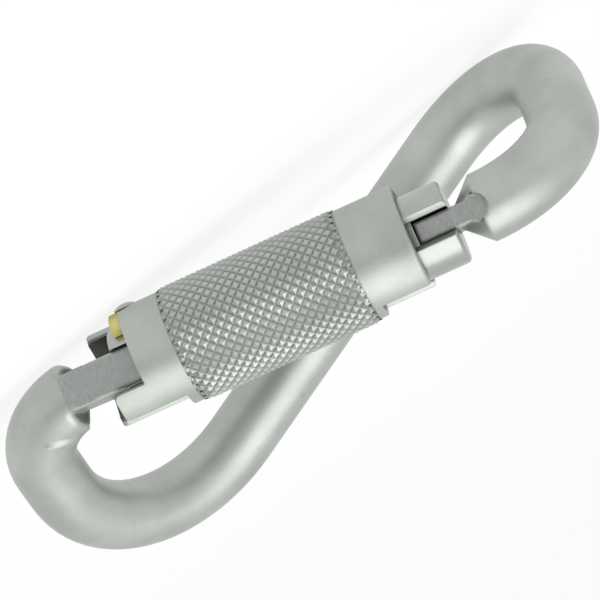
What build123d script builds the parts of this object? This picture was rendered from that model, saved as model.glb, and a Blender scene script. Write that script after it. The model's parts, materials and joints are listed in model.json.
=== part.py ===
from build123d import *
from math import cos, radians, sin, sqrt, tan
import os

# Oval steel carabiner: a twisted bar, a spring gate and a knurled sleeve that locks it.
# Everything is drawn with the gate line along X, its nose end towards +X, and the gate's
# outer side towards +Z. Angles round the gate line start at the outer side and grow towards
# +Y. The finished pieces are then turned together into the pose in which they lie at rest.

# Bar
bar_diameter = 12.0
bend_reach = 51.5  # middle of the gate line to the corner of each bend
spine_offset = 52.8  # gate line to spine, in the plane of each bend
twist = 71.5  # angle between the planes of the two bends
hinge_bend_radius = 14.4
hinge_spine_radius = 24.0
nose_bend_radius = 17.5
nose_spine_radius = 18.8
bar_overlap = 0.5  # the bar's straight start runs this far into the tongue

# Hinge tongue, milled from the bar
pivot_x = -26.8
tongue_width = 6.4
tongue_outer = 5.0  # gate line to the outer face
tongue_inner = 5.4  # gate line to the inner face
tongue_relief = 4.5  # the same, where the relief starts behind the eye
eye_radius = 5.0
eye_flat = 4.5  # pivot to the flat that the plunger bears on
tongue_cutter_radius = 18.0
shoulder_rounding = 1.4
shoulder_past_bend = 3.9  # start of the bend to the shoulder
flat_past_shoulder = 1.2
outer_flat_run_out = 20.0  # slope on which that flat runs out on the bar
edge_break = 0.35
relief_start_x = -28.5
relief_past_shoulder = 4.0
sleeve_relief_past_shoulder = 0.7  # slanted flat that lets the turned sleeve pass the open gate
sleeve_relief_length = 10.0
sleeve_relief_depth = 3.5  # gate line to that flat, at its end
sleeve_relief_lean = 30.0
sleeve_relief_taper = 10.0

# Nose
nose_tongue_width = 3.6
nose_tongue_height = 8.8
nose_straight = 0.2  # between the cone and the bend
nose_cone_length = 4.4
nose_pillar_radius = 2.3
nose_pillar_inset = 0.9
nose_tip_clearance = 1.0  # sleeve rim to nose tip, so that gate and sleeve can move together
nose_end_clearance = 0.25

# Gate body
gate_diameter = 14.6
gate_ear_end_x = -31.4
gate_end_gap = 0.5
prong_end_rounding = 0.8
ear_rounding = 1.4
tongue_side_clearance = 0.2
nose_side_clearance = 0.3
nose_mouth_chamfer = 1.2
nose_slot_under_sleeve = 4.6
eye_clearance = 0.5
plunger_bore_diameter = 5.0
plunger_bore_end_x = 9.0

# Hinge rivet
rivet_diameter = 4.6
rivet_end_chamfer = 0.3
rivet_running_clearance = 0.05

# Plunger and gate spring
plunger_clearance = 0.1
plunger_gap = 0.05
plunger_head_length = 5.0
plunger_stem_diameter = 2.4
plunger_stem_length = 6.0
spring_wire_sides = 8
gate_spring_wire = 0.8
gate_spring_turns = 7

# Locking sleeve
sleeve_wall = 1.4  # of the skirt
sleeve_clearance = 0.1
prong_reach = 7.3  # beyond the sleeve's rim
rim_rounding = 0.75
knurl_start_x = -20.8
rim_collar_length = 10.2
knurl_rise = 0.35
knurl_chamfer = 0.5
skirt_bore_end_x = -6.0
skirt_end_x = -35.8
tab_end_x = -33.3
window_step_x = -27.7
window_low_angle = -27.0
window_high_angle = 119.0
slot_high_angle = -61.0
slot_low_angle = -125.0
nose_slot_in_sleeve = 9.0
hinge_slot_in_sleeve_x = -22.5
skirt_corner_radius = 1.0

# Insert in the sleeve's window, and its domed pin
insert_low_angle = 42.0
insert_high_angle = 118.5
insert_end_x = -29.6
insert_flange_end_x = -23.6
insert_inset = 0.35  # below the sleeve's outside
insert_clearance = 0.05
notch_radius = 4.0
notch_x = -28.2
pin_head_diameter = 4.0
pin_head_height = 1.0
pin_head_edge = 0.35
pin_shank_diameter = 2.0

# Sleeve spring and retaining ring
sleeve_spring_wire = 0.7
sleeve_spring_clearance = 0.15  # to the gate and to the skirt
sleeve_spring_start_x = -22.8
sleeve_spring_end_x = -6.8
sleeve_spring_turns = 4
ring_x = 4.0
ring_width = 0.9
ring_depth = 0.45  # in the gate
ring_height = 1.0
ring_clearance = 0.1
ring_gap_angle = 24.0

# Pose at rest on a table
rest_roll = -91.13  # turn about X
rest_pitch = -14.06  # turn about Y

bar_radius = bar_diameter / 2
hinge_bend_start_x = hinge_bend_radius - bend_reach
tongue_shoulder_x = hinge_bend_start_x - shoulder_past_bend
outer_flat_end_x = tongue_shoulder_x + flat_past_shoulder
relief_end_x = tongue_shoulder_x + relief_past_shoulder
sleeve_relief_x = tongue_shoulder_x + sleeve_relief_past_shoulder
nose_cone_end_x = bend_reach - nose_bend_radius - nose_straight
nose_cone_start_x = nose_cone_end_x - nose_cone_length
nose_pillar_x = nose_cone_end_x - nose_pillar_inset
gate_prong_end_x = nose_cone_start_x - gate_end_gap
rim_x = gate_prong_end_x - prong_reach
nose_slot_start_x = rim_x - nose_slot_under_sleeve
nose_slot_in_sleeve_x = rim_x - nose_slot_in_sleeve
knurl_end_x = rim_x - rim_collar_length
gate_radius = gate_diameter / 2
ring_inner_radius = gate_radius - ring_depth
ring_outer_radius = ring_inner_radius + ring_height
sleeve_bore_radius = gate_radius + sleeve_clearance
skirt_bore_radius = gate_radius + sleeve_spring_wire + 2 * sleeve_spring_clearance
sleeve_radius = skirt_bore_radius + sleeve_wall
knurl_radius = sleeve_radius + knurl_rise
insert_radius = sleeve_radius - insert_inset
plunger_bore_radius = plunger_bore_diameter / 2
hinge_slot_end_x = pivot_x + eye_radius + eye_clearance
nose_tip_x = rim_x + nose_tip_clearance
plunger_tip_x = pivot_x + eye_flat + plunger_gap
plunger_shoulder_x = plunger_tip_x + plunger_head_length
beyond = 2 * sleeve_radius  # length of cuts that leave the part

os.makedirs("parts", exist_ok=True)


def bend(before, corner, after, radius):
    """Start, middle and end of the arc that rounds a corner of the bar's route."""
    to_before = (before - corner).normalized()
    to_after = (after - corner).normalized()
    half_angle = radians(to_before.get_angle(to_after) / 2)
    bisector = (to_before + to_after).normalized()
    centre = corner + bisector * (radius / sin(half_angle))
    reach = radius / tan(half_angle)
    return corner + to_before * reach, centre - bisector * radius, corner + to_after * reach


# Hinge tongue: a flat plate with a round eye, its inner face relieved towards the bar
with BuildPart() as tongue:
    with BuildSketch(Plane.XZ.offset(-tongue_width / 2)):
        with BuildLine():
            relief_start = (relief_start_x, -tongue_relief)
            Line((tongue_shoulder_x, tongue_outer), (pivot_x, eye_radius))
            ThreePointArc((pivot_x, eye_radius), (pivot_x + eye_radius, 0), (pivot_x, -eye_radius))
            Polyline(
                (pivot_x, -eye_radius),
                relief_start,
                (relief_end_x, -tongue_inner),
                (tongue_shoulder_x, -tongue_inner),
                (tongue_shoulder_x, tongue_outer),
            )
        make_face()
    extrude(amount=tongue_width)
    with Locations((pivot_x + eye_flat, 0, 0)):
        Box(beyond, beyond, beyond, align=(Align.MIN, Align.CENTER, Align.CENTER), mode=Mode.SUBTRACT)
    long_edges = tongue.edges().filter_by(Axis.X).sort_by(Axis.Z)[-2:]
    chamfer(long_edges, edge_break)
    with Locations(Location((pivot_x, 0, 0), (90, 0, 0))):
        Cylinder(rivet_diameter / 2 + rivet_running_clearance, tongue_width, mode=Mode.SUBTRACT)

# Nose: a cone with a narrow tongue whose root is a round pillar
with BuildPart() as nose:
    with BuildSketch(Plane.XY):
        with BuildLine():
            Polyline(
                (nose_cone_start_x, 0),
                (nose_cone_start_x, nose_tongue_width / 2),
                (nose_cone_end_x, bar_radius),
                (nose_cone_end_x, 0),
                close=True,
            )
        make_face()
    revolve(axis=Axis.X)
    with Locations(((nose_tip_x + nose_pillar_x) / 2, 0, 0)):
        Box(nose_pillar_x - nose_tip_x, nose_tongue_width, nose_tongue_height)
    with Locations((nose_pillar_x, 0, 0)):
        Cylinder(nose_pillar_radius, nose_tongue_height)

# The bar, bent from the hinge tongue round the spine to the nose
half_twist = radians(twist / 2)
spine_drop = spine_offset * cos(half_twist)
spine_side = spine_offset * sin(half_twist)
bar_start_x = hinge_bend_start_x + bar_overlap
route = [
    Vector(bar_start_x, 0, 0),
    Vector(-bend_reach, 0, 0),
    Vector(-bend_reach, -spine_side, -spine_drop),
    Vector(bend_reach, spine_side, -spine_drop),
    Vector(bend_reach, 0, 0),
    Vector(nose_cone_end_x, 0, 0),
]
bend_radii = [hinge_bend_radius, hinge_spine_radius, nose_spine_radius, nose_bend_radius]
bends = [bend(*route[i : i + 3], bend_radii[i]) for i in range(len(bend_radii))]

with BuildPart() as body:
    with BuildLine():
        straight_start = route[0]
        for arc_start, arc_middle, arc_end in bends:
            Line(straight_start, arc_start)
            ThreePointArc(arc_start, arc_middle, arc_end)
            straight_start = arc_end
        Line(straight_start, route[-1])
    with BuildSketch(Plane(route[0], z_dir=(-1, 0, 0))):
        Circle(bar_radius)
    sweep()
    # shoulders left by the cutter on both sides of the tongue
    for side in (-1, 1):
        with BuildSketch(Plane.XZ.offset(side * tongue_width / 2)):
            with Locations((tongue_shoulder_x + tongue_cutter_radius, tongue_outer)):
                Circle(tongue_cutter_radius)
        extrude(amount=side * bar_radius, mode=Mode.SUBTRACT)
    shoulder_edges = body.faces().filter_by(lambda face: face.radius == tongue_cutter_radius).edges()
    outer_edges = shoulder_edges.filter_by(lambda edge: abs(edge.center().Y) > tongue_width / 2 + edge_break)
    fillet(outer_edges, shoulder_rounding)
    # the tongue's outer flat runs out on the bar
    with BuildSketch(Plane.XZ.offset(-bar_radius)):
        with BuildLine():
            run_out_x = outer_flat_end_x - bar_radius / tan(radians(outer_flat_run_out))
            Polyline(
                (run_out_x, tongue_outer + bar_radius),
                (outer_flat_end_x, tongue_outer),
                (pivot_x, tongue_outer),
                (pivot_x, tongue_outer + bar_radius),
                close=True,
            )
        make_face()
    extrude(amount=bar_diameter, mode=Mode.SUBTRACT)
    add(tongue.part)
    add(nose.part)
    # the lower inner corner is cut back, so that the turned sleeve passes it as the gate opens
    lean = radians(sleeve_relief_lean)
    taper = radians(sleeve_relief_taper)
    relief_plane = Plane(
        (sleeve_relief_x, -sleeve_relief_depth * sin(lean), -sleeve_relief_depth * cos(lean)),
        x_dir=(cos(taper), -sin(lean) * sin(taper), -cos(lean) * sin(taper)),
        z_dir=(-sin(taper), -sin(lean) * cos(taper), -cos(lean) * cos(taper)),
    )
    with Locations(relief_plane):
        Box(
            sleeve_relief_length,
            2 * bar_diameter,
            bar_diameter,
            align=(Align.MIN, Align.CENTER, Align.MIN),
            mode=Mode.SUBTRACT,
        )
    with Locations((nose_pillar_x, 0, nose_tongue_height / 2)):
        Cylinder(
            nose_pillar_radius, bar_radius, align=(Align.CENTER, Align.CENTER, Align.MIN), mode=Mode.SUBTRACT
        )

# Gate body: a turned barrel, forked round the nose and round the hinge tongue
with BuildPart() as gate_body:
    with BuildSketch(Plane.XY) as barrel:
        with Locations(((gate_ear_end_x + gate_prong_end_x) / 2, gate_radius / 2)):
            Rectangle(gate_prong_end_x - gate_ear_end_x, gate_radius)
        ear_corner = barrel.vertices().sort_by_distance((gate_ear_end_x, gate_radius))[0]
        fillet(ear_corner, ear_rounding)
        prong_corner = barrel.vertices().sort_by_distance((gate_prong_end_x, gate_radius))[0]
        fillet(prong_corner, prong_end_rounding)
        with Locations((ring_x, gate_radius)):
            groove_depth = gate_radius - ring_inner_radius + ring_clearance / 2
            Rectangle(ring_width + ring_clearance, 2 * groove_depth, mode=Mode.SUBTRACT)
    revolve(axis=Axis.X)
    # slot for the nose, closed on its inner side, with a chamfered mouth; a ledge as high as
    # the nose carries the slot on under the sleeve's rim
    slot_half_width = nose_tongue_width / 2 + nose_side_clearance
    mouth_z = sqrt(gate_radius**2 - slot_half_width**2)
    slot_steps = [
        (nose_slot_start_x, nose_tongue_height / 2),
        (nose_tip_x - nose_end_clearance, -nose_tongue_height / 2 - nose_side_clearance),
    ]
    for slot_start, slot_floor in slot_steps:
        with BuildSketch(Plane.YZ.offset(slot_start)):
            with BuildLine():
                Polyline(
                    (-slot_half_width, slot_floor),
                    (-slot_half_width, mouth_z - nose_mouth_chamfer),
                    (-slot_half_width - 2 * nose_mouth_chamfer, mouth_z + nose_mouth_chamfer),
                    (slot_half_width + 2 * nose_mouth_chamfer, mouth_z + nose_mouth_chamfer),
                    (slot_half_width, mouth_z - nose_mouth_chamfer),
                    (slot_half_width, slot_floor),
                    close=True,
                )
            make_face()
        extrude(amount=gate_prong_end_x - slot_start, mode=Mode.SUBTRACT)
    # slot for the hinge tongue, and the rivet's hole across it
    with Locations((hinge_slot_end_x, 0, 0)):
        Box(
            beyond,
            tongue_width + 2 * tongue_side_clearance,
            gate_diameter,
            align=(Align.MAX, Align.CENTER, Align.CENTER),
            mode=Mode.SUBTRACT,
        )
    with Locations(Location((pivot_x, 0, 0), (90, 0, 0))):
        Cylinder(rivet_diameter / 2, gate_diameter, mode=Mode.SUBTRACT)
    with BuildSketch(Plane.YZ.offset(hinge_slot_end_x)):
        Circle(plunger_bore_radius)
    extrude(amount=plunger_bore_end_x - hinge_slot_end_x, mode=Mode.SUBTRACT)

# Hinge rivet, its ends flush with the ears
with BuildPart() as hinge_rivet:
    with Locations(Location((pivot_x, 0, 0), (90, 0, 0))):
        Cylinder(rivet_diameter / 2, 2 * sqrt(gate_radius**2 - (rivet_diameter / 2) ** 2))
    chamfer(hinge_rivet.edges().filter_by(GeomType.CIRCLE), rivet_end_chamfer)

# Plunger: pushed out of the gate against the tongue's flat
with BuildPart() as gate_plunger:
    with BuildSketch(Plane.YZ.offset(plunger_tip_x)):
        Circle(plunger_bore_radius - plunger_clearance)
    extrude(amount=plunger_head_length)
    with BuildSketch(Plane.YZ.offset(plunger_shoulder_x)):
        Circle(plunger_stem_diameter / 2)
    extrude(amount=plunger_stem_length)
    chamfer(gate_plunger.edges().group_by(Axis.X)[0], edge_break)


def coil(start_x, end_x, radius, wire, turns):
    """Helical spring round the gate line, with its wire inside the two ends."""
    length = end_x - start_x - wire
    with BuildPart() as spring:
        with BuildLine() as helix:
            Helix(length / turns, length, radius, center=(start_x + wire / 2, 0, 0), direction=(1, 0, 0))
        with BuildSketch(Plane(helix.line @ 0, z_dir=helix.line % 0)):
            RegularPolygon(wire / 2, spring_wire_sides)
        sweep(is_frenet=True)
    return spring


gate_spring = coil(
    plunger_shoulder_x,
    plunger_bore_end_x,
    plunger_bore_radius - plunger_clearance - gate_spring_wire / 2,
    gate_spring_wire,
    gate_spring_turns,
)
sleeve_spring = coil(
    sleeve_spring_start_x,
    sleeve_spring_end_x,
    (gate_radius + skirt_bore_radius) / 2,
    sleeve_spring_wire,
    sleeve_spring_turns,
)

# Retaining ring: keeps the sleeve from sliding along the gate
with BuildPart() as retaining_ring:
    with BuildSketch(Plane.XY):
        with Locations((ring_x, (ring_inner_radius + ring_outer_radius) / 2)):
            Rectangle(ring_width, ring_outer_radius - ring_inner_radius)
    revolve(axis=Axis.X, revolution_arc=360 - ring_gap_angle)

# Locking sleeve: a turned and knurled tube, with a skirt round the hinge tongue
with BuildPart() as locking_sleeve:
    with BuildSketch(Plane.XY) as wall:
        with BuildLine():
            Polyline(
                (skirt_end_x, skirt_bore_radius),
                (skirt_end_x, sleeve_radius),
                (knurl_start_x, sleeve_radius),
                (knurl_start_x, knurl_radius - knurl_chamfer),
                (knurl_start_x + knurl_chamfer, knurl_radius),
                (knurl_end_x - knurl_chamfer, knurl_radius),
                (knurl_end_x, knurl_radius - knurl_chamfer),
                (knurl_end_x, sleeve_radius),
                (rim_x, sleeve_radius),
                (rim_x, sleeve_bore_radius),
                (skirt_bore_end_x, sleeve_bore_radius),
                (skirt_bore_end_x, skirt_bore_radius),
                close=True,
            )
        make_face()
        rim_corner = wall.vertices().sort_by_distance((rim_x, sleeve_radius))[0]
        fillet(rim_corner, rim_rounding)
        with Locations((ring_x, sleeve_bore_radius)):
            Rectangle(
                ring_width + 2 * ring_clearance,
                2 * (ring_outer_radius + ring_clearance - sleeve_bore_radius),
                mode=Mode.SUBTRACT,
            )
    revolve(axis=Axis.X)
    # window towards the outer side, the shorter tab below it, and the slots below the gate
    cuts = [
        (skirt_end_x, window_step_x, window_low_angle, window_high_angle),
        (skirt_end_x, tab_end_x, slot_high_angle, window_low_angle),
        (skirt_end_x, hinge_slot_in_sleeve_x, slot_low_angle, slot_high_angle),
        (nose_slot_in_sleeve_x, rim_x, slot_low_angle, slot_high_angle),
    ]
    for cut_start, cut_end, low_angle, high_angle in cuts:
        with BuildSketch(Plane.YZ.offset(cut_start)):
            with BuildLine():
                wedge_rim = CenterArc((0, 0), beyond, 90 - high_angle, high_angle - low_angle)
                Polyline(wedge_rim @ 1, (0, 0), wedge_rim @ 0)
            make_face()
        extrude(amount=cut_end - cut_start, mode=Mode.SUBTRACT)
    corner_edges = locking_sleeve.edges().filter_by(GeomType.LINE)
    skirt_corners = corner_edges.filter_by_position(Axis.X, skirt_end_x - edge_break, tab_end_x + edge_break)
    fillet(skirt_corners.filter_by(lambda edge: edge.length < sleeve_wall + edge_break), skirt_corner_radius)
    # round notch for the insert, at the top of the window
    with Locations(Location((notch_x, 0, 0), (-90, 0, 0))):
        Cylinder(
            notch_radius,
            sleeve_radius,
            align=(Align.CENTER, Align.CENTER, Align.MIN),
            mode=Mode.SUBTRACT,
        )

# Yellow insert: a plastic segment that fills the notch, with a flange under the collar
flange_radius = skirt_bore_radius - insert_clearance
with BuildPart() as collar_room:
    with BuildSketch(Plane.XY):
        with Locations((window_step_x - insert_clearance, flange_radius)):
            Rectangle(beyond, beyond, align=(Align.MIN, Align.MIN))
    revolve(axis=Axis.X)
    with Locations(Location((notch_x, 0, 0), (-90, 0, 0))):
        Cylinder(
            notch_radius - insert_clearance,
            beyond,
            align=(Align.CENTER, Align.CENTER, Align.MIN),
            mode=Mode.SUBTRACT,
        )
with BuildPart() as lock_insert:
    end_angle = radians(insert_high_angle)
    with BuildSketch(Plane((0, 0, 0), x_dir=(1, 0, 0), z_dir=(0, -cos(end_angle), sin(end_angle)))):
        with Locations((insert_end_x, sleeve_bore_radius)):
            Rectangle(
                insert_flange_end_x - insert_end_x,
                insert_radius - sleeve_bore_radius,
                align=(Align.MIN, Align.MIN),
            )
    revolve(axis=Axis.X, revolution_arc=insert_high_angle - insert_low_angle)
    add(collar_room.part, mode=Mode.SUBTRACT)
    with Locations(Location((pivot_x, 0, 0), (-90, 0, 0))):
        Cylinder(
            pin_shank_diameter / 2,
            sleeve_radius,
            align=(Align.CENTER, Align.CENTER, Align.MIN),
            mode=Mode.SUBTRACT,
        )

# Domed pin through the insert
with BuildPart() as dome_pin:
    with BuildSketch(Plane.XY):
        with BuildLine():
            Polyline(
                (pivot_x, insert_radius + pin_head_height),
                (pivot_x, sleeve_bore_radius + insert_clearance),
                (pivot_x + pin_shank_diameter / 2, sleeve_bore_radius + insert_clearance),
                (pivot_x + pin_shank_diameter / 2, insert_radius),
                (pivot_x + pin_head_diameter / 2, insert_radius),
                (pivot_x + pin_head_diameter / 2, insert_radius + pin_head_edge),
            )
            TangentArc(
                (pivot_x, insert_radius + pin_head_height),
                (pivot_x + pin_head_diameter / 2, insert_radius + pin_head_edge),
                tangent=(1, 0),
            )
        make_face()
    revolve(axis=Axis((pivot_x, 0, 0), (0, 1, 0)))

# The carabiner lies on the pin's dome, the edge of the skirt and the bend at its nose end
pieces = [
    body,
    gate_body,
    hinge_rivet,
    gate_plunger,
    gate_spring,
    sleeve_spring,
    retaining_ring,
    locking_sleeve,
    lock_insert,
    dome_pin,
]
at_rest = Rot(0, 0, 180) * Rot(0, rest_pitch, 0) * Rot(rest_roll, 0, 0)
for piece in pieces:
    piece.part.move(at_rest)
lying = Compound([piece.part for piece in pieces]).bounding_box()
for piece in pieces:
    piece.part.move(Pos(-lying.center().X, -lying.center().Y, -lying.min.Z))

body.part.label = "body"
export_step(body.part, "parts/body.step")
gate_body.part.label = "gate_body"
export_step(gate_body.part, "parts/gate_body.step")
hinge_rivet.part.label = "hinge_rivet"
export_step(hinge_rivet.part, "parts/hinge_rivet.step")
gate_plunger.part.label = "gate_plunger"
export_step(gate_plunger.part, "parts/gate_plunger.step")
gate_spring.part.label = "gate_spring"
export_step(gate_spring.part, "parts/gate_spring.step")
sleeve_spring.part.label = "sleeve_spring"
export_step(sleeve_spring.part, "parts/sleeve_spring.step")
retaining_ring.part.label = "retaining_ring"
export_step(retaining_ring.part, "parts/retaining_ring.step")
locking_sleeve.part.label = "locking_sleeve"
export_step(locking_sleeve.part, "parts/locking_sleeve.step")
lock_insert.part.label = "lock_insert"
export_step(lock_insert.part, "parts/lock_insert.step")
dome_pin.part.label = "dome_pin"
export_step(dome_pin.part, "parts/dome_pin.step")
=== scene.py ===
import json
import math

import bpy
from mathutils import Matrix, Vector


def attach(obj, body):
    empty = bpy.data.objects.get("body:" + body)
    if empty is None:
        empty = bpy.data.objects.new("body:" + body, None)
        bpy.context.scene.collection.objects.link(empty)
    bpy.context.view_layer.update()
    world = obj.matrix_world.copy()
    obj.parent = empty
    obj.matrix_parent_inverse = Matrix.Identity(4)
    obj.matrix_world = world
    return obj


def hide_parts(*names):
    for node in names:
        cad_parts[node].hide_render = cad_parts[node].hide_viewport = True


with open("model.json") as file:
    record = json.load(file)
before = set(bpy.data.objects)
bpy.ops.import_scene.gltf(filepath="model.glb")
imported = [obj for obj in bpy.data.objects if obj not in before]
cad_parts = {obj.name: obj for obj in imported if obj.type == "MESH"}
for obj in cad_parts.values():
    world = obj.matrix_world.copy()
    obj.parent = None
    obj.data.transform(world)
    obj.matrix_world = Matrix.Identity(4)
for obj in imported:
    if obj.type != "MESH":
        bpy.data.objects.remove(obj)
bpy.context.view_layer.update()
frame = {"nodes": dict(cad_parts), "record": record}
record = frame["record"]
joints = {joint["name"]: joint for joint in record["behaviour"]["joints"]}
mm = 0.001

# the gate's own axes: along it to the nose, up, and out of the loop
alongGate = -Vector(joints["sleeve_turn"]["axis"])
upGate = Vector(joints["gate_swing"]["axis"])
outGate = alongGate.cross(upGate)
gatePlace = Matrix((alongGate, upGate, outGate)).transposed().to_4x4()
gatePlace.translation = Vector(joints["sleeve_turn"]["pos_m"])


def deselectAll():
    if bpy.context.object and bpy.context.object.mode != "OBJECT":
        bpy.ops.object.mode_set(mode="OBJECT")
    bpy.ops.object.select_all(action="DESELECT")


def makeActive(piece):
    deselectAll()
    piece.select_set(True)
    bpy.context.view_layer.objects.active = piece


def placeInRow(piece):
    # a piece drawn in the gate's axes goes to the row's frame, with its place in its mesh
    makeActive(piece)
    piece.matrix_world = gatePlace @ piece.matrix_world
    bpy.ops.object.transform_apply(location=True, rotation=True, scale=True)


def newGroup(name, inputs, outputs):
    group = bpy.data.node_groups.new(name, "ShaderNodeTree")
    for socketName, value in inputs:
        socket = group.interface.new_socket(socketName, in_out="INPUT", socket_type="NodeSocketFloat")
        socket.default_value = value
    for socketName, kind in outputs:
        group.interface.new_socket(socketName, in_out="OUTPUT", socket_type=kind)
    return group, group.nodes.new("NodeGroupInput"), group.nodes.new("NodeGroupOutput")


def mathNode(tree, operation, first, second=0.0, third=0.0):
    node = tree.nodes.new("ShaderNodeMath")
    node.operation = operation
    for index, value in enumerate((first, second, third)):
        if isinstance(value, (int, float)):
            node.inputs[index].default_value = value
        else:
            tree.links.new(value, node.inputs[index])
    return node.outputs[0]


def noiseNode(tree, vector, scale, detail, roughness):
    node = tree.nodes.new("ShaderNodeTexNoise")
    node.inputs["Detail"].default_value = detail
    node.inputs["Roughness"].default_value = roughness
    tree.links.new(vector, node.inputs["Vector"])
    if isinstance(scale, (int, float)):
        node.inputs["Scale"].default_value = scale
    else:
        tree.links.new(scale, node.inputs["Scale"])
    return node.outputs["Fac"]


def rampMask(tree, value, low, high):
    # 0 below low, 1 above high
    node = tree.nodes.new("ShaderNodeMapRange")
    node.interpolation_type = "SMOOTHSTEP"
    node.inputs["From Min"].default_value = low
    node.inputs["From Max"].default_value = high
    tree.links.new(value, node.inputs["Value"])
    return node.outputs["Result"]


def buildSatinGrain():
    # blasted and plated steel: fine grain, soft cloudy patches and a few dark specks
    group, source, sink = newGroup(
        "satinGrain",
        [("Grain Scale", 2600.0), ("Cloud Scale", 90.0), ("Speck Scale", 420.0)],
        [("Grain", "NodeSocketFloat"), ("Cloud", "NodeSocketFloat"), ("Specks", "NodeSocketFloat")],
    )
    place = group.nodes.new("ShaderNodeTexCoord").outputs["Object"]
    grain = noiseNode(group, place, source.outputs["Grain Scale"], 3.0, 0.6)
    cloud = noiseNode(group, place, source.outputs["Cloud Scale"], 4.0, 0.55)
    speck = noiseNode(group, place, source.outputs["Speck Scale"], 2.0, 0.5)
    group.links.new(grain, sink.inputs["Grain"])
    group.links.new(rampMask(group, cloud, 0.3, 0.7), sink.inputs["Cloud"])
    group.links.new(rampMask(group, speck, 0.66, 0.74), sink.inputs["Specks"])
    return group


def buildGatePlace():
    # where a point lies in the gate's own axes, in millimetres
    outputs = [(name, "NodeSocketFloat") for name in ("Along", "Up", "Out")]
    group, source, sink = newGroup("gatePlace", [], outputs)
    coords = group.nodes.new("ShaderNodeTexCoord")
    mapping = group.nodes.new("ShaderNodeMapping")
    mapping.vector_type = "TEXTURE"
    mapping.inputs["Location"].default_value = gatePlace.translation
    mapping.inputs["Rotation"].default_value = gatePlace.to_euler("XYZ")
    mapping.inputs["Scale"].default_value = (mm, mm, mm)
    group.links.new(coords.outputs["Object"], mapping.inputs["Vector"])
    split = group.nodes.new("ShaderNodeSeparateXYZ")
    group.links.new(mapping.outputs["Vector"], split.inputs[0])
    for index, (name, kind) in enumerate(outputs):
        group.links.new(split.outputs[index], sink.inputs[name])
    return group


def buildSoftEdges():
    # edges broken by blasting and handling: a rounded normal and a mask of the worn edge
    group, source, sink = newGroup(
        "softEdges", [("Radius", 0.00025)], [("Edge", "NodeSocketFloat"), ("Normal", "NodeSocketVector")]
    )
    bevel = group.nodes.new("ShaderNodeBevel")
    bevel.samples = 6
    group.links.new(source.outputs["Radius"], bevel.inputs["Radius"])
    geometry = group.nodes.new("ShaderNodeNewGeometry")
    turned = group.nodes.new("ShaderNodeVectorMath")
    turned.operation = "DOT_PRODUCT"
    group.links.new(bevel.outputs["Normal"], turned.inputs[0])
    group.links.new(geometry.outputs["Normal"], turned.inputs[1])
    away = mathNode(group, "SUBTRACT", 1.0, turned.outputs["Value"])
    group.links.new(rampMask(group, away, 0.01, 0.12), sink.inputs["Edge"])
    group.links.new(bevel.outputs["Normal"], sink.inputs["Normal"])
    return group


def buildBrushedLines():
    # short strokes across the gate line, as a grinder leaves them
    group, source, sink = newGroup(
        "brushedLines", [("Across", 9.0), ("Length", 0.7)], [("Lines", "NodeSocketFloat")]
    )
    place = group.nodes.new("ShaderNodeGroup")
    place.node_tree = gateAxesGroup
    joined = group.nodes.new("ShaderNodeCombineXYZ")
    scales = (source.outputs["Across"], source.outputs["Length"], source.outputs["Across"])
    for index, (name, scale) in enumerate(zip(("Along", "Up", "Out"), scales)):
        group.links.new(mathNode(group, "MULTIPLY", place.outputs[name], scale), joined.inputs[index])
    group.links.new(noiseNode(group, joined.outputs[0], 1.0, 4.0, 0.65), sink.inputs["Lines"])
    return group


satinGroup = buildSatinGrain()
gateAxesGroup = buildGatePlace()
edgeGroup = buildSoftEdges()
brushedGroup = buildBrushedLines()
print("shader groups done")


def placeGroup(tree, group, **values):
    node = tree.nodes.new("ShaderNodeGroup")
    node.node_tree = group
    for name, value in values.items():
        node.inputs[name].default_value = value
    return node


def mixColour(tree, factor, first, second, blend="MIX"):
    node = tree.nodes.new("ShaderNodeMix")
    node.data_type = "RGBA"
    node.blend_type = blend
    for name, value in (("Factor", factor), ("A", first), ("B", second)):
        socket = [item for item in node.inputs if item.name == name and item.enabled][0]
        if isinstance(value, tuple):
            socket.default_value = (*value, 1.0)
        elif isinstance(value, (int, float)):
            socket.default_value = value
        else:
            tree.links.new(value, socket)
    return [item for item in node.outputs if item.enabled][0]


def insideMask(tree, place, limits):
    # limits: name, middle and half width in millimetres along each of the gate's axes
    mask = None
    for name, middle, half in limits:
        away = mathNode(tree, "ABSOLUTE", mathNode(tree, "SUBTRACT", place.outputs[name], middle))
        near = mathNode(tree, "LESS_THAN", away, half)
        mask = near if mask is None else mathNode(tree, "MULTIPLY", mask, near)
    return mask


def milledFlats(tree, flats):
    place = placeGroup(tree, gateAxesGroup)
    masks = [insideMask(tree, place, limits) for limits in flats]
    whole = masks[0]
    for mask in masks[1:]:
        whole = mathNode(tree, "MAXIMUM", whole, mask)
    return whole


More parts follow.
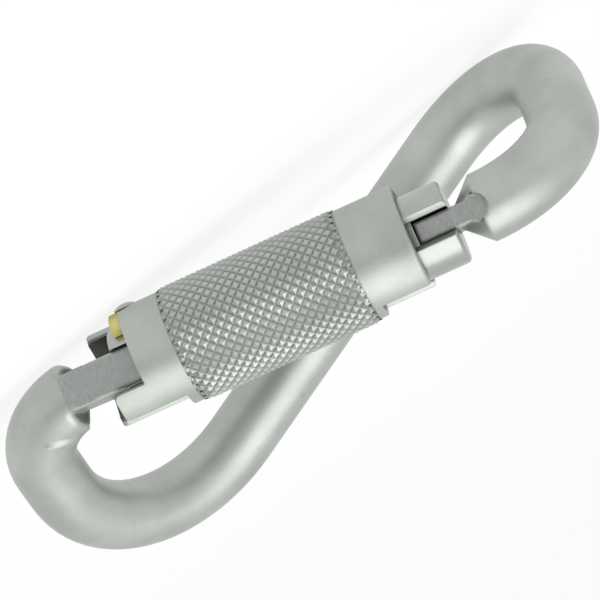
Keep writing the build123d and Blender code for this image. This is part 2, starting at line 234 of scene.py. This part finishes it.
# colours and roughness range between two values in soft clouds; places are in millimetres
finishes = {
    "barSatin": {
        "dark": (0.43, 0.455, 0.425),
        "light": (0.51, 0.535, 0.505),
        "rough": (0.40, 0.50),
        "bump": 0.35,
        "wear": 0.2,
        "edgeRadius": 0.9 * mm,
        "flats": (
            (("Along", -31.6, 9.8), ("Up", 0.0, 3.3), ("Out", 5.3, 0.42)),
            (("Along", 28.0, 7.3), ("Up", 0.0, 2.4), ("Out", 4.4, 0.05)),
        ),
        "flatColour": (0.42, 0.435, 0.42),
        "pressMark": {
            "slope": -0.19,
            "offset": -15.4,
            "width": 0.6,
            "height": 0.5,
            "limits": (("Along", -44.0, 4.3), ("Out", -3.0, 7.0)),
        },
    },
    "sleeveSatin": {
        "dark": (0.42, 0.45, 0.415),
        "light": (0.49, 0.52, 0.485),
        "rough": (0.42, 0.50),
        "bump": 0.3,
        "wear": 0.5,
        # painted shade in the sleeve's bore
        "hollowShade": (8.5, 9.0),
        "hollowShadeColour": (0.13, 0.135, 0.13),
    },
    "knurlSteel": {
        "dark": (0.43, 0.46, 0.425),
        "light": (0.50, 0.53, 0.495),
        "rough": (0.30, 0.38),
        "bump": 0.2,
        # painted shade in the knurl's grooves, with some dirt there too
        "hollowShade": (9.74, 9.99),
        "hollowShadeColour": (0.30, 0.31, 0.30),
    },
    "gateNickel": {
        "dark": (0.41, 0.43, 0.40),
        "light": (0.47, 0.49, 0.46),
        "rough": (0.28, 0.36),
        "bump": 0.12,
        "wear": 0.3,
        "flats": ((("Along", 20.0, 3.2), ("Up", 0.0, 2.2), ("Out", 4.4, 0.06)),),
        # painted shade inside the gate's slot
        "slot": (("Along", 21.5, 7.45), ("Up", 0.0, 2.13), ("Out", 1.0, 4.9)),
        "slotColour": (0.10, 0.105, 0.10),
        "flatColour": (0.42, 0.435, 0.42),
    },
    "springSteel": {
        "dark": (0.28, 0.29, 0.29),
        "light": (0.38, 0.39, 0.39),
        "rough": (0.25, 0.35),
        "bump": 0.1,
        "wear": 0.2,
    },
}


surface = {
    "specks": 0.12,
    "speckColour": (0.2, 0.2, 0.19),
    "grainDepth": 0.02 * mm,
    "strokeDepth": 2.0,  # against the grain
    "strokeShade": 0.72,
    "wornShade": 1.45,
    "edgeRadius": 0.25 * mm,
}


def pressMark(tree, mark, normal):
    # a low step across the bar, where the press that flattened its end stopped
    place = placeGroup(tree, gateAxesGroup)
    line = mathNode(tree, "MULTIPLY_ADD", place.outputs["Along"], mark["slope"], mark["offset"])
    across = mathNode(tree, "SUBTRACT", line, place.outputs["Up"])
    step = rampMask(tree, across, -mark["width"], mark["width"])
    inside = insideMask(tree, place, mark["limits"])
    bump = tree.nodes.new("ShaderNodeBump")
    bump.inputs["Distance"].default_value = mark["height"] * mm
    tree.links.new(mathNode(tree, "MULTIPLY", step, inside), bump.inputs["Height"])
    tree.links.new(normal, bump.inputs["Normal"])
    return bump.outputs["Normal"]


def satinMetal(name, look):
    material = bpy.data.materials.new(name)
    material.use_nodes = True
    tree = material.node_tree
    shader = tree.nodes["Principled BSDF"]
    shader.inputs["Metallic"].default_value = 1.0
    satin = placeGroup(tree, satinGroup)
    colour = mixColour(tree, satin.outputs["Cloud"], look["dark"], look["light"])
    specks = mathNode(tree, "MULTIPLY", satin.outputs["Specks"], surface["specks"])
    colour = mixColour(tree, specks, colour, surface["speckColour"])
    height = satin.outputs["Grain"]
    # painted shade: the inside of the gate's slot is darkened where shade falls between its walls; the
    # ledge's flat is coloured over it below
    if "slot" in look:
        place = placeGroup(tree, gateAxesGroup)
        colour = mixColour(tree, insideMask(tree, place, look["slot"]), colour, look["slotColour"])
    if "flats" in look:
        flat = milledFlats(tree, look["flats"])
        lines = placeGroup(tree, brushedGroup).outputs["Lines"]
        darker = tuple(surface["strokeShade"] * value for value in look["flatColour"])
        brushed = mixColour(tree, rampMask(tree, lines, 0.3, 0.7), darker, look["flatColour"])
        colour = mixColour(tree, flat, colour, brushed)
        strokes = mathNode(tree, "MULTIPLY", lines, surface["strokeDepth"])
        height = mathNode(tree, "ADD", height, mathNode(tree, "MULTIPLY", flat, strokes))
    if "hollowShade" in look:
        # painted shade: darker below a distance from the gate line, in the sleeve's bore and in the knurl's
        # grooves (there with some dirt)
        place = placeGroup(tree, gateAxesGroup)
        square = mathNode(tree, "MULTIPLY", place.outputs["Out"], place.outputs["Out"])
        square = mathNode(tree, "MULTIPLY_ADD", place.outputs["Up"], place.outputs["Up"], square)
        raised = rampMask(tree, mathNode(tree, "SQRT", square), *look["hollowShade"])
        colour = mixColour(tree, raised, look["hollowShadeColour"], colour)
    if "wear" in look:
        edges = placeGroup(tree, edgeGroup, Radius=look.get("edgeRadius", surface["edgeRadius"]))
        worn = mathNode(tree, "MULTIPLY", edges.outputs["Edge"], look["wear"])
        bright = tuple(min(1.0, surface["wornShade"] * value) for value in look["light"])
        colour = mixColour(tree, worn, colour, bright)
    tree.links.new(colour, shader.inputs["Base Color"])
    low, high = look["rough"]
    rough = mathNode(tree, "MULTIPLY_ADD", satin.outputs["Grain"], high - low, low)
    tree.links.new(rough, shader.inputs["Roughness"])
    bump = tree.nodes.new("ShaderNodeBump")
    bump.inputs["Strength"].default_value = look["bump"]
    bump.inputs["Distance"].default_value = surface["grainDepth"]
    tree.links.new(height, bump.inputs["Height"])
    if "wear" in look:
        tree.links.new(edges.outputs["Normal"], bump.inputs["Normal"])
    normal = bump.outputs["Normal"]
    if "pressMark" in look:
        normal = pressMark(tree, look["pressMark"], normal)
    tree.links.new(normal, shader.inputs["Normal"])
    return material


materials = {name: satinMetal(name, look) for name, look in finishes.items()}


insertLook = {
    "dark": (0.64, 0.56, 0.18),
    "light": (0.78, 0.70, 0.27),
    "rough": (0.40, 0.55),
    "bump": 0.2,
    "cloudScale": 500.0,
}


def insertPlastic():
    # moulded yellow plastic, a little dirty
    look = insertLook
    material = bpy.data.materials.new("insertPlastic")
    material.use_nodes = True
    tree = material.node_tree
    shader = tree.nodes["Principled BSDF"]
    satin = placeGroup(tree, satinGroup, **{"Cloud Scale": look["cloudScale"]})
    edges = placeGroup(tree, edgeGroup)
    colour = mixColour(tree, satin.outputs["Cloud"], look["dark"], look["light"])
    tree.links.new(colour, shader.inputs["Base Color"])
    low, high = look["rough"]
    rough = mathNode(tree, "MULTIPLY_ADD", satin.outputs["Grain"], high - low, low)
    tree.links.new(rough, shader.inputs["Roughness"])
    bump = tree.nodes.new("ShaderNodeBump")
    bump.inputs["Strength"].default_value = look["bump"]
    bump.inputs["Distance"].default_value = surface["grainDepth"]
    tree.links.new(satin.outputs["Grain"], bump.inputs["Height"])
    tree.links.new(edges.outputs["Normal"], bump.inputs["Normal"])
    tree.links.new(bump.outputs["Normal"], shader.inputs["Normal"])
    return material


materials["insertPlastic"] = insertPlastic()

nodeFinish = {
    "body": "barSatin",
    "gate_body": "gateNickel",
    "hinge_rivet": "gateNickel",
    "gate_plunger": "springSteel",
    "gate_spring": "springSteel",
    "sleeve_spring": "springSteel",
    "retaining_ring": "springSteel",
    "locking_sleeve": "sleeveSatin",
    "lock_insert": "insertPlastic",
    "dome_pin": "gateNickel",
}
for node, finish in nodeFinish.items():
    for materialSlot in frame["nodes"][node].material_slots:
        materialSlot.material = materials[finish]
print("materials done")

knurl = {
    "start": -20.8 * mm,
    "end": 11.4 * mm,
    "rootRadius": 9.75 * mm,
    "depth": 0.38 * mm,
    "flank": 0.60 * mm,
    "around": 31,
    "rows": 17,
    "endEase": 0.98,
    "wallRadius": 9.2 * mm,
}


def knurlShell():
    length = knurl["end"] - knurl["start"]
    deselectAll()
    bpy.ops.mesh.primitive_cylinder_add(
        vertices=knurl["around"],
        radius=knurl["rootRadius"],
        depth=length,
        end_fill_type="NOTHING",
        location=((knurl["start"] + knurl["end"]) / 2, 0, 0),
        rotation=(0, math.pi / 2, 0),
    )
    shell = bpy.context.object
    shell.name = "knurl"
    bpy.ops.object.transform_apply(location=True, rotation=True, scale=True)
    bpy.ops.object.mode_set(mode="EDIT")
    # cut the tube into rows
    for row in range(1, knurl["rows"]):
        bpy.ops.mesh.select_all(action="SELECT")
        cut = knurl["start"] + length * row / knurl["rows"]
        bpy.ops.mesh.bisect(plane_co=(cut, 0, 0), plane_no=(1, 0, 0))
    # each cell gets a middle point; joining across the cells' edges leaves diamonds
    bpy.ops.mesh.select_all(action="SELECT")
    bpy.ops.mesh.mark_sharp()
    bulge = knurl["rootRadius"] * (1 - math.cos(math.pi / knurl["around"]))
    bpy.ops.mesh.poke(offset=bulge)
    bpy.ops.object.mode_set(mode="OBJECT")
    mesh = shell.data
    faceCount = {}
    for polygon in mesh.polygons:
        for key in polygon.edge_keys:
            faceCount[key] = faceCount.get(key, 0) + 1
    for item in (*mesh.vertices, *mesh.edges, *mesh.polygons):
        item.select = False
    for edge in mesh.edges:
        edge.select = edge.use_edge_sharp and faceCount[edge.key] == 2
    bpy.ops.object.mode_set(mode="EDIT")
    bpy.ops.mesh.select_mode(type="EDGE")
    bpy.ops.mesh.dissolve_edges(use_verts=False)
    bpy.ops.mesh.select_mode(type="FACE")
    bpy.ops.mesh.select_all(action="SELECT")
    bpy.ops.mesh.mark_sharp(clear=True)
    bpy.ops.mesh.inset(
        use_individual=True, use_even_offset=True, thickness=knurl["flank"], depth=knurl["depth"]
    )
    bpy.ops.mesh.select_mode(type="VERT")
    bpy.ops.object.mode_set(mode="OBJECT")
    # the knurl is eased at both ends
    for item in (*mesh.edges, *mesh.polygons):
        item.select = False
    for vertex in mesh.vertices:
        fromEnd = min(vertex.co.x - knurl["start"], knurl["end"] - vertex.co.x)
        radius = math.hypot(vertex.co.y, vertex.co.z)
        vertex.select = fromEnd < 1.0 * mm and radius > knurl["rootRadius"] + knurl["depth"] / 2
    bpy.ops.object.mode_set(mode="EDIT")
    bpy.ops.transform.resize(value=(1.0, knurl["endEase"], knurl["endEase"]), center_override=(0, 0, 0))
    # both ends close down into the wall
    bpy.ops.mesh.select_all(action="DESELECT")
    bpy.ops.mesh.select_non_manifold()
    bpy.ops.mesh.extrude_edges_move()
    inward = knurl["wallRadius"] / knurl["rootRadius"]
    bpy.ops.transform.resize(value=(1.0, inward, inward), center_override=(0, 0, 0))
    bpy.ops.mesh.select_all(action="SELECT")
    bpy.ops.mesh.normals_make_consistent(inside=False)
    bpy.ops.object.mode_set(mode="OBJECT")
    return shell


def plainSleeve():
    # the sleeve's own mesh, without the plain band that stands for the knurl
    deselectAll()
    source = frame["nodes"]["locking_sleeve"]
    piece = source.copy()
    piece.data = source.data.copy()
    bpy.context.collection.objects.link(piece)
    piece.name = "turnedSleeve"
    piece.parent = None
    makeActive(piece)
    bpy.ops.object.mode_set(mode="EDIT")
    bpy.ops.mesh.select_all(action="SELECT")
    bpy.ops.mesh.remove_doubles(threshold=0.002 * mm)
    bpy.ops.mesh.select_all(action="DESELECT")
    bpy.ops.object.mode_set(mode="OBJECT")
    toGate = gatePlace.inverted()
    for polygon in piece.data.polygons:
        centre = toGate @ polygon.center
        radius = math.hypot(centre.y, centre.z)
        inZone = knurl["start"] - 0.1 * mm < centre.x < knurl["end"] + 0.1 * mm
        polygon.select = inZone and radius > knurl["wallRadius"]
    bpy.ops.object.mode_set(mode="EDIT")
    bpy.ops.mesh.delete(type="FACE")
    bpy.ops.object.mode_set(mode="OBJECT")
    bpy.ops.mesh.customdata_custom_splitnormals_clear()
    bpy.ops.object.shade_smooth_by_angle(angle=math.radians(25))
    bpy.ops.object.modifier_add(type="WEIGHTED_NORMAL")
    piece.modifiers[-1].keep_sharp = True
    bpy.ops.object.modifier_apply(modifier=piece.modifiers[-1].name)
    return piece


sleeve = plainSleeve()
shell = knurlShell()
placeInRow(shell)
shell.data.materials.clear()
shell.data.materials.append(materials["knurlSteel"])
for piece in (sleeve, shell):
    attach(piece, "sleeve")
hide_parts("locking_sleeve")
print("sleeve done")

studio = {
    "floorSize": 60.0,
    "floorWhite": 0.85,  # the share of the floor that is white of itself; the rest takes shadow
    "paper": (0.86, 0.87, 0.86, 1.0),
    "roomColour": (0.98, 1.0, 0.98, 1.0),
    "room": 0.9,
    "darkRoom": 0.5,
    "darkSide": (0.42, -0.9, 0.03),
    "darkReach": (0.70, 0.93),
    "keyWay": (0.03, -0.5, 0.87),
    "keyDistance": 0.75,
    "keySize": (0.8, 0.8),
    "keyLight": 1.45,
}


def paleFloor():
    deselectAll()
    bpy.ops.mesh.primitive_plane_add(size=studio["floorSize"], location=(0, 0, -0.1 * mm))
    floor = bpy.context.object
    floor.name = "floor"
    material = bpy.data.materials.new("floorPaper")
    material.use_nodes = True
    tree = material.node_tree
    tree.nodes.clear()
    output = tree.nodes.new("ShaderNodeOutputMaterial")
    mix = tree.nodes.new("ShaderNodeMixShader")
    paper = tree.nodes.new("ShaderNodeBsdfDiffuse")
    paper.inputs["Color"].default_value = studio["paper"]
    glow = tree.nodes.new("ShaderNodeEmission")
    path = tree.nodes.new("ShaderNodeLightPath")
    mirrored = mathNode(tree, "MAXIMUM", path.outputs["Is Glossy Ray"], path.outputs["Is Transmission Ray"])
    seen = mathNode(tree, "MAXIMUM", path.outputs["Is Camera Ray"], mirrored)
    tree.links.new(mathNode(tree, "MULTIPLY", seen, studio["floorWhite"]), mix.inputs["Fac"])
    glow.inputs["Strength"].default_value = 1.0
    tree.links.new(paper.outputs[0], mix.inputs[1])
    tree.links.new(glow.outputs[0], mix.inputs[2])
    tree.links.new(mix.outputs[0], output.inputs["Surface"])
    floor.data.materials.append(material)


def softWorld():
    world = bpy.data.worlds.new("studio")
    bpy.context.scene.world = world
    world.use_nodes = True
    tree = world.node_tree
    # the side that the camera stands on is darker than the rest of the room
    coords = tree.nodes.new("ShaderNodeTexCoord")
    front = tree.nodes.new("ShaderNodeVectorMath")
    front.operation = "DOT_PRODUCT"
    front.inputs[1].default_value = Vector(studio["darkSide"]).normalized()
    tree.links.new(coords.outputs["Generated"], front.inputs[0])
    dark = rampMask(tree, front.outputs["Value"], *studio["darkReach"])
    level = mathNode(tree, "MULTIPLY_ADD", dark, studio["darkRoom"] - studio["room"], studio["room"])
    room = tree.nodes["Background"]
    room.inputs["Color"].default_value = studio["roomColour"]
    tree.links.new(level, room.inputs["Strength"])


def softbox(name, way, distance, size, level):
    # level is the brightness of the softbox itself, where 1 is white
    light = bpy.data.lights.new(name, "AREA")
    light.shape = "RECTANGLE"
    light.size, light.size_y = size
    light.energy = level * math.pi * size[0] * size[1]
    lamp = bpy.data.objects.new(name, light)
    bpy.context.collection.objects.link(lamp)
    lamp.location = way.normalized() * distance
    lamp.rotation_mode = "QUATERNION"
    lamp.rotation_quaternion = way.to_track_quat("Z", "Y")


paleFloor()
softWorld()
softbox("key", Vector(studio["keyWay"]), studio["keyDistance"], studio["keySize"], studio["keyLight"])

view = {
    "roll": 6.78,  # about the gate line
    "yaw": 5.70,
    "tilt": 24.51,
    "distance": 640.0 * mm,
    "aside": (-0.813 * mm, 1.107 * mm),
    "lens": 233.36,
}


def placeCamera():
    # the view is turned from the gate's own axes
    turn = (
        Matrix.Rotation(math.radians(view["tilt"]), 3, "Z")
        @ Matrix.Rotation(-math.radians(view["yaw"]), 3, "Y")
        @ Matrix.Rotation(-math.radians(view["roll"]), 3, "X")
    )
    axes = gatePlace.to_3x3() @ turn.transposed()  # its columns point right, up and back
    right, up, back = (axes.col[index] for index in range(3))
    data = bpy.data.cameras.new("camera")
    data.sensor_width = 36.0
    data.lens = view["lens"]
    data.clip_start, data.clip_end = 0.01, 20.0
    camera = bpy.data.objects.new("camera", data)
    bpy.context.collection.objects.link(camera)
    bpy.context.scene.camera = camera
    aim = gatePlace.translation - right * view["aside"][0] - up * view["aside"][1]
    place = axes.to_4x4()
    place.translation = aim + back * view["distance"]
    camera.matrix_world = place


placeCamera()
bpy.context.scene.view_settings.view_transform = "Standard"
print("studio done")
